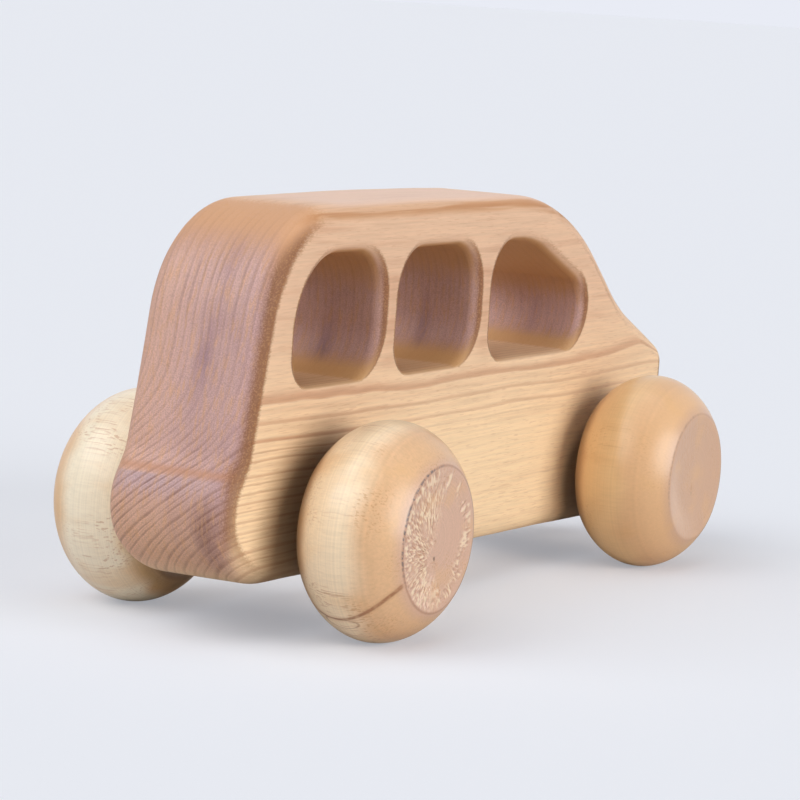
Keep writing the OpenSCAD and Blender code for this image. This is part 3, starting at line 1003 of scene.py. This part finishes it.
def make_body(material):
    low, high = box_mm("bus_body")
    half_w = high[1]
    skin = Skin()
    corners = body_corners(low, high)
    edge = whole_section(half_section(half_w, EDGE_R, EDGE_STEPS, 1))
    bands = [skin.band(rings_of(lambda inset: outline(corners, inset), edge))]
    mouth = whole_section(half_section(half_w, MOUTH_R, MOUTH_STEPS, -1))
    for window in window_corners(low, high):
        bands.append(skin.band(rings_of(lambda inset: outline(window, inset, SILL_MOUTH_SHARE), mouth)))
    bore = [(y, 0.0) for y in np.linspace(-half_w, half_w, BORE_STEPS)]
    bores = [(sum(box_mm(axle)) / 2)[[0, 2]] for axle in ("rear_axle", "front_axle")]
    for x, z in bores:
        bands.append(skin.band(rings_of(lambda inset: circle(x, z, BORE_R), bore)))
    flat_side(skin, [first for first, last in bands])
    flat_side(skin, [last for first, last in bands])
    piece = add_piece("body", skin.points, skin.faces, "bus", material, "bus_body")
    wear(piece, bores)


# Wheels: lathe forms about Y


def wheel_profile(radius, width):
    """[radius, distance from the inner face], from the blind bore's end to the middle of the outer face."""
    face_angle, inner_angle = math.acos(FACE_R / radius), math.acos(INNER_FACE_R / radius)
    half_w = width / (math.sin(inner_angle) + math.sin(face_angle))
    bore = [(r, BLIND_BORE_DEPTH) for r in np.linspace(BLIND_TIP_R, BLIND_BORE_R, BLIND_END_STEPS)]
    bore += [(BLIND_BORE_R, d) for d in np.linspace(BLIND_BORE_DEPTH, 0, BLIND_WALL_STEPS)[1:]]
    face = [(r, 0.0) for r in np.linspace(BLIND_BORE_R, INNER_FACE_R, FACE_STEPS)[1:-1]]
    angles = np.linspace(-inner_angle, face_angle, TREAD_STEPS + 1)
    tread = [(radius * math.cos(a), half_w * (math.sin(a) + math.sin(inner_angle))) for a in angles]
    dish_r = FACE_R - RIM_W
    shares = np.linspace(0, 1, DISH_STEPS + 1)[:-1]
    dish = [(dish_r * (1 - s), width - DISH_DEPTH * (1 - (1 - s) ** 2)) for s in shares]
    return bore + face + tread + dish


def ramp(value, low, high):
    """A straight step from 0 to 1."""
    return max(0.0, min(1.0, (value - low) / (high - low)))


def torn_fibres(radius, angle, seed, amount):
    """Fibres of a wheel's outer face that stand up, above zero, or are pulled out, below zero, from -1 to 1.

    They run outwards from the pith, mostly in the half that faces the tail and in a broken ring by the rim.
    """
    x, z = radius * math.cos(angle) - PITH_X, radius * math.sin(angle) - PITH_Z
    away = math.hypot(x, z)
    c, s = x / max(away, PITH_LEAST_R), z / max(away, PITH_LEAST_R)
    spot = Vector((TEARS_AROUND * c + seed, TEARS_AROUND * s, away / TEAR_LEN))
    stroke = noise.noise(spot) + FINE_TEAR_SHARE * noise.noise(spot * FINE_TEARS) + TEAR_LEVEL
    patch = noise.noise(Vector((x / TEAR_PATCH + seed, z / TEAR_PATCH, seed)))
    patchy = TAILWARD_TORN + TAILWARD_PATCHY * patch
    tailward = ramp(-c, *TAILWARD_SPAN) * ramp(away, *TAILWARD_AWAY) * patchy
    ring = RING_TORN * ramp(radius, *RING_START_R) * ramp(radius, *RING_END_R) * ramp(patch, *RING_PATCH)
    heart = PITH_TORN * ramp(away, *PITH_AWAY) * ramp(patch, *PITH_PATCH)
    reach = min(1.0, max(tailward, ring, heart)) * ramp(radius, FACE_R - RIM_W / 2, FACE_R - RIM_W)
    return max(-1.0, min(1.0, TEAR_GAIN * stroke)) * reach * amount


def ring_of_tears(r, d, width, angles, look):
    """How far the points of one ring of a wheel are torn, which is only so within the outer face's rim."""
    if d <= width - 2 * DISH_DEPTH or r >= FACE_R - RIM_W / 3:
        return [0] * len(angles)
    return [torn_fibres(r, a, look.seed, look.torn) for a in angles]


def make_wheel(node, body):
    low, high = box_mm(node)
    centre = (low + high) / 2
    side = math.copysign(1, centre[1])
    inner_y = low[1] if side > 0 else high[1]
    width, radius = high[1] - low[1], (high[2] - low[2]) / 2
    name = node.replace("_wheel", "")
    look = WHEEL_LOOKS[name]
    skin = Skin()
    angles = np.linspace(0, 2 * math.pi, WHEEL_TURNS, endpoint=False)
    tears, rings = [], []
    for r, d in wheel_profile(radius, width):
        torn = ring_of_tears(r, d, width, angles, look)
        rings.append([
            (centre[0] + r * math.cos(a), inner_y + side * (d + TEAR_HEIGHT * t), centre[2] + r * math.sin(a))
            for a, t in zip(angles, torn)
        ])
        tears += torn
    first, last = skin.band(rings)
    for ring, depth in ((first, BLIND_BORE_DEPTH), (last, width - DISH_DEPTH)):
        pole = skin.add([(centre[0], inner_y + side * depth, centre[2])])[0]
        skin.faces += [(ring[k], ring[(k + 1) % WHEEL_TURNS], pole) for k in range(WHEEL_TURNS)]
    material = make_wheel_wood(name, centre, look)
    piece = add_piece(f"{name}_tyre", skin.points, skin.faces, body, material, node)
    shown = piece.data.attributes.new("torn", "FLOAT", "POINT")
    shown.data.foreach_set("value", np.array(tears + [0, 0], np.float32))


def make_axle(node, body, material):
    low, high = box_mm(node)
    x, _, z = (low + high) / 2
    tip = AXLE_R - AXLE_CHAMFER
    shank = np.linspace(low[1] + AXLE_CHAMFER, high[1] - AXLE_CHAMFER, AXLE_STEPS)
    section = [(low[1], tip), *((y, AXLE_R) for y in shank), (high[1], tip)]
    skin = Skin()
    first, last = skin.band([[(cx, y, cz) for cx, cz in circle(x, z, r)] for y, r in section])
    skin.faces += [tuple(first), tuple(last)]
    name = node.replace("_axle", "_dowel")
    add_piece(name, skin.points, skin.faces, body, material, node)


# Stage


FLOOR_COLOUR = srgb(245, 248, 254)
SKY_COLOUR = srgb(244, 247, 255)
BACK_COLOUR = srgb(233, 236, 245)
FLOOR_BOUNCE = srgb(222, 222, 226)
FLOOR_GLOW = 0.38
FLOOR_ROUGH = 0.9
FLOOR_REACH = 200.0
SKY_STRENGTH = 0.08

# Lamps: the way to each, how wide it is in degrees, and its strength
LAMPS = {
    "side": ((0, -1, 0.25), 45, 2.1),
    "back": ((-0.5, 0.5, 0.7), 45, 1.15),
    "tail": ((-0.8, 0, 0.6), 45, 0.8),
    "top": ((0, 0, 1), 60, 0.65),
}


def make_floor_paper():
    """Pale paper, which the camera sees a little brighter in the shade than the object does."""
    g = Graph("floor_paper")
    seen = g.node("LightPath", {}, "Is Camera Ray")
    g.fill(g.shader.inputs["Base Color"], g.mix(seen, FLOOR_BOUNCE, FLOOR_COLOUR))
    g.shader.inputs["Roughness"].default_value = FLOOR_ROUGH
    g.shader.inputs["Specular IOR Level"].default_value = 0.0
    glow = g.node("Emission", {"Color": BACK_COLOUR})
    share = g.math("MULTIPLY", seen, FLOOR_GLOW)
    paper = g.node("MixShader", {0: share, 1: g.shader.outputs[0], 2: glow})
    g.fill(g.tree.nodes["Material Output"].inputs["Surface"], paper)
    return g.material


def make_camera():
    turn, down, roll = (math.radians(a) for a in (CAMERA_TURN, CAMERA_DOWN, CAMERA_ROLL))
    ahead = Vector((math.sin(turn) * math.cos(down), math.cos(turn) * math.cos(down), -math.sin(down)))
    level = Vector((math.cos(turn), -math.sin(turn), 0))
    upright = level.cross(ahead)
    right = level * math.cos(roll) + upright * math.sin(roll)
    up = upright * math.cos(roll) - level * math.sin(roll)
    data = bpy.data.cameras.new("camera")
    data.sensor_width = SENSOR_MM
    data.lens = FOCAL_PX / IMAGE_PX * SENSOR_MM
    camera = bpy.data.objects.new("camera", data)
    place = (Vector(CAMERA_TARGET) - ahead * CAMERA_AWAY) * MM
    camera.matrix_world = Matrix.Translation(place) @ Matrix((right, up, -ahead)).transposed().to_4x4()
    bpy.context.scene.collection.objects.link(camera)
    bpy.context.scene.camera = camera


def make_floor():
    mesh = bpy.data.meshes.new("floor")
    signs = ((-1, -1), (1, -1), (1, 1), (-1, 1))
    corners = [(x * FLOOR_REACH, y * FLOOR_REACH, 0) for x, y in signs]
    mesh.from_pydata(corners, [], [(0, 1, 2, 3)])
    mesh.materials.append(make_floor_paper())
    floor = bpy.data.objects.new("floor", mesh)
    bpy.context.scene.collection.objects.link(floor)


def add_sun(name, towards, spread, strength):
    """A wide, soft and even light from one direction, given as the way to the light."""
    data = bpy.data.lights.new(name, "SUN")
    data.angle = math.radians(spread)
    data.energy = strength
    lamp = bpy.data.objects.new(name, data)
    lamp.rotation_euler = (-Vector(towards)).to_track_quat("-Z", "Y").to_euler()
    bpy.context.scene.collection.objects.link(lamp)


def make_sky():
    """A dim sky, which the camera and reflections see as a pale backdrop."""
    world = bpy.data.worlds.new("world")
    world.use_nodes = True
    tree = world.node_tree
    sky = tree.nodes["Background"]
    sky.inputs["Color"].default_value = SKY_COLOUR
    sky.inputs["Strength"].default_value = SKY_STRENGTH
    seen = tree.nodes.new("ShaderNodeBackground")
    seen.inputs["Color"].default_value = BACK_COLOUR
    path = tree.nodes.new("ShaderNodeLightPath")
    either = tree.nodes.new("ShaderNodeMath")
    either.operation = "MAXIMUM"
    mix = tree.nodes.new("ShaderNodeMixShader")
    tree.links.new(path.outputs["Is Camera Ray"], either.inputs[0])
    tree.links.new(path.outputs["Is Glossy Ray"], either.inputs[1])
    tree.links.new(either.outputs[0], mix.inputs[0])
    tree.links.new(sky.outputs[0], mix.inputs[1])
    tree.links.new(seen.outputs[0], mix.inputs[2])
    tree.links.new(mix.outputs[0], tree.nodes["World Output"].inputs[0])
    bpy.context.scene.world = world


def make_light():
    for name, lamp in LAMPS.items():
        add_sun(name, *lamp)
    make_sky()


def make_wheel_sets():
    axle_wood = make_axle_wood()
    for end in ("front", "rear"):
        body = f"{end}_wheel_set"
        make_axle(f"{end}_axle", body, axle_wood)
        for hand in ("left", "right"):
            make_wheel(f"{end}_{hand}_wheel", body)


make_body(make_body_wood())
make_wheel_sets()
make_camera()
make_floor()
make_light()
bpy.context.scene.view_settings.view_transform = "Standard"
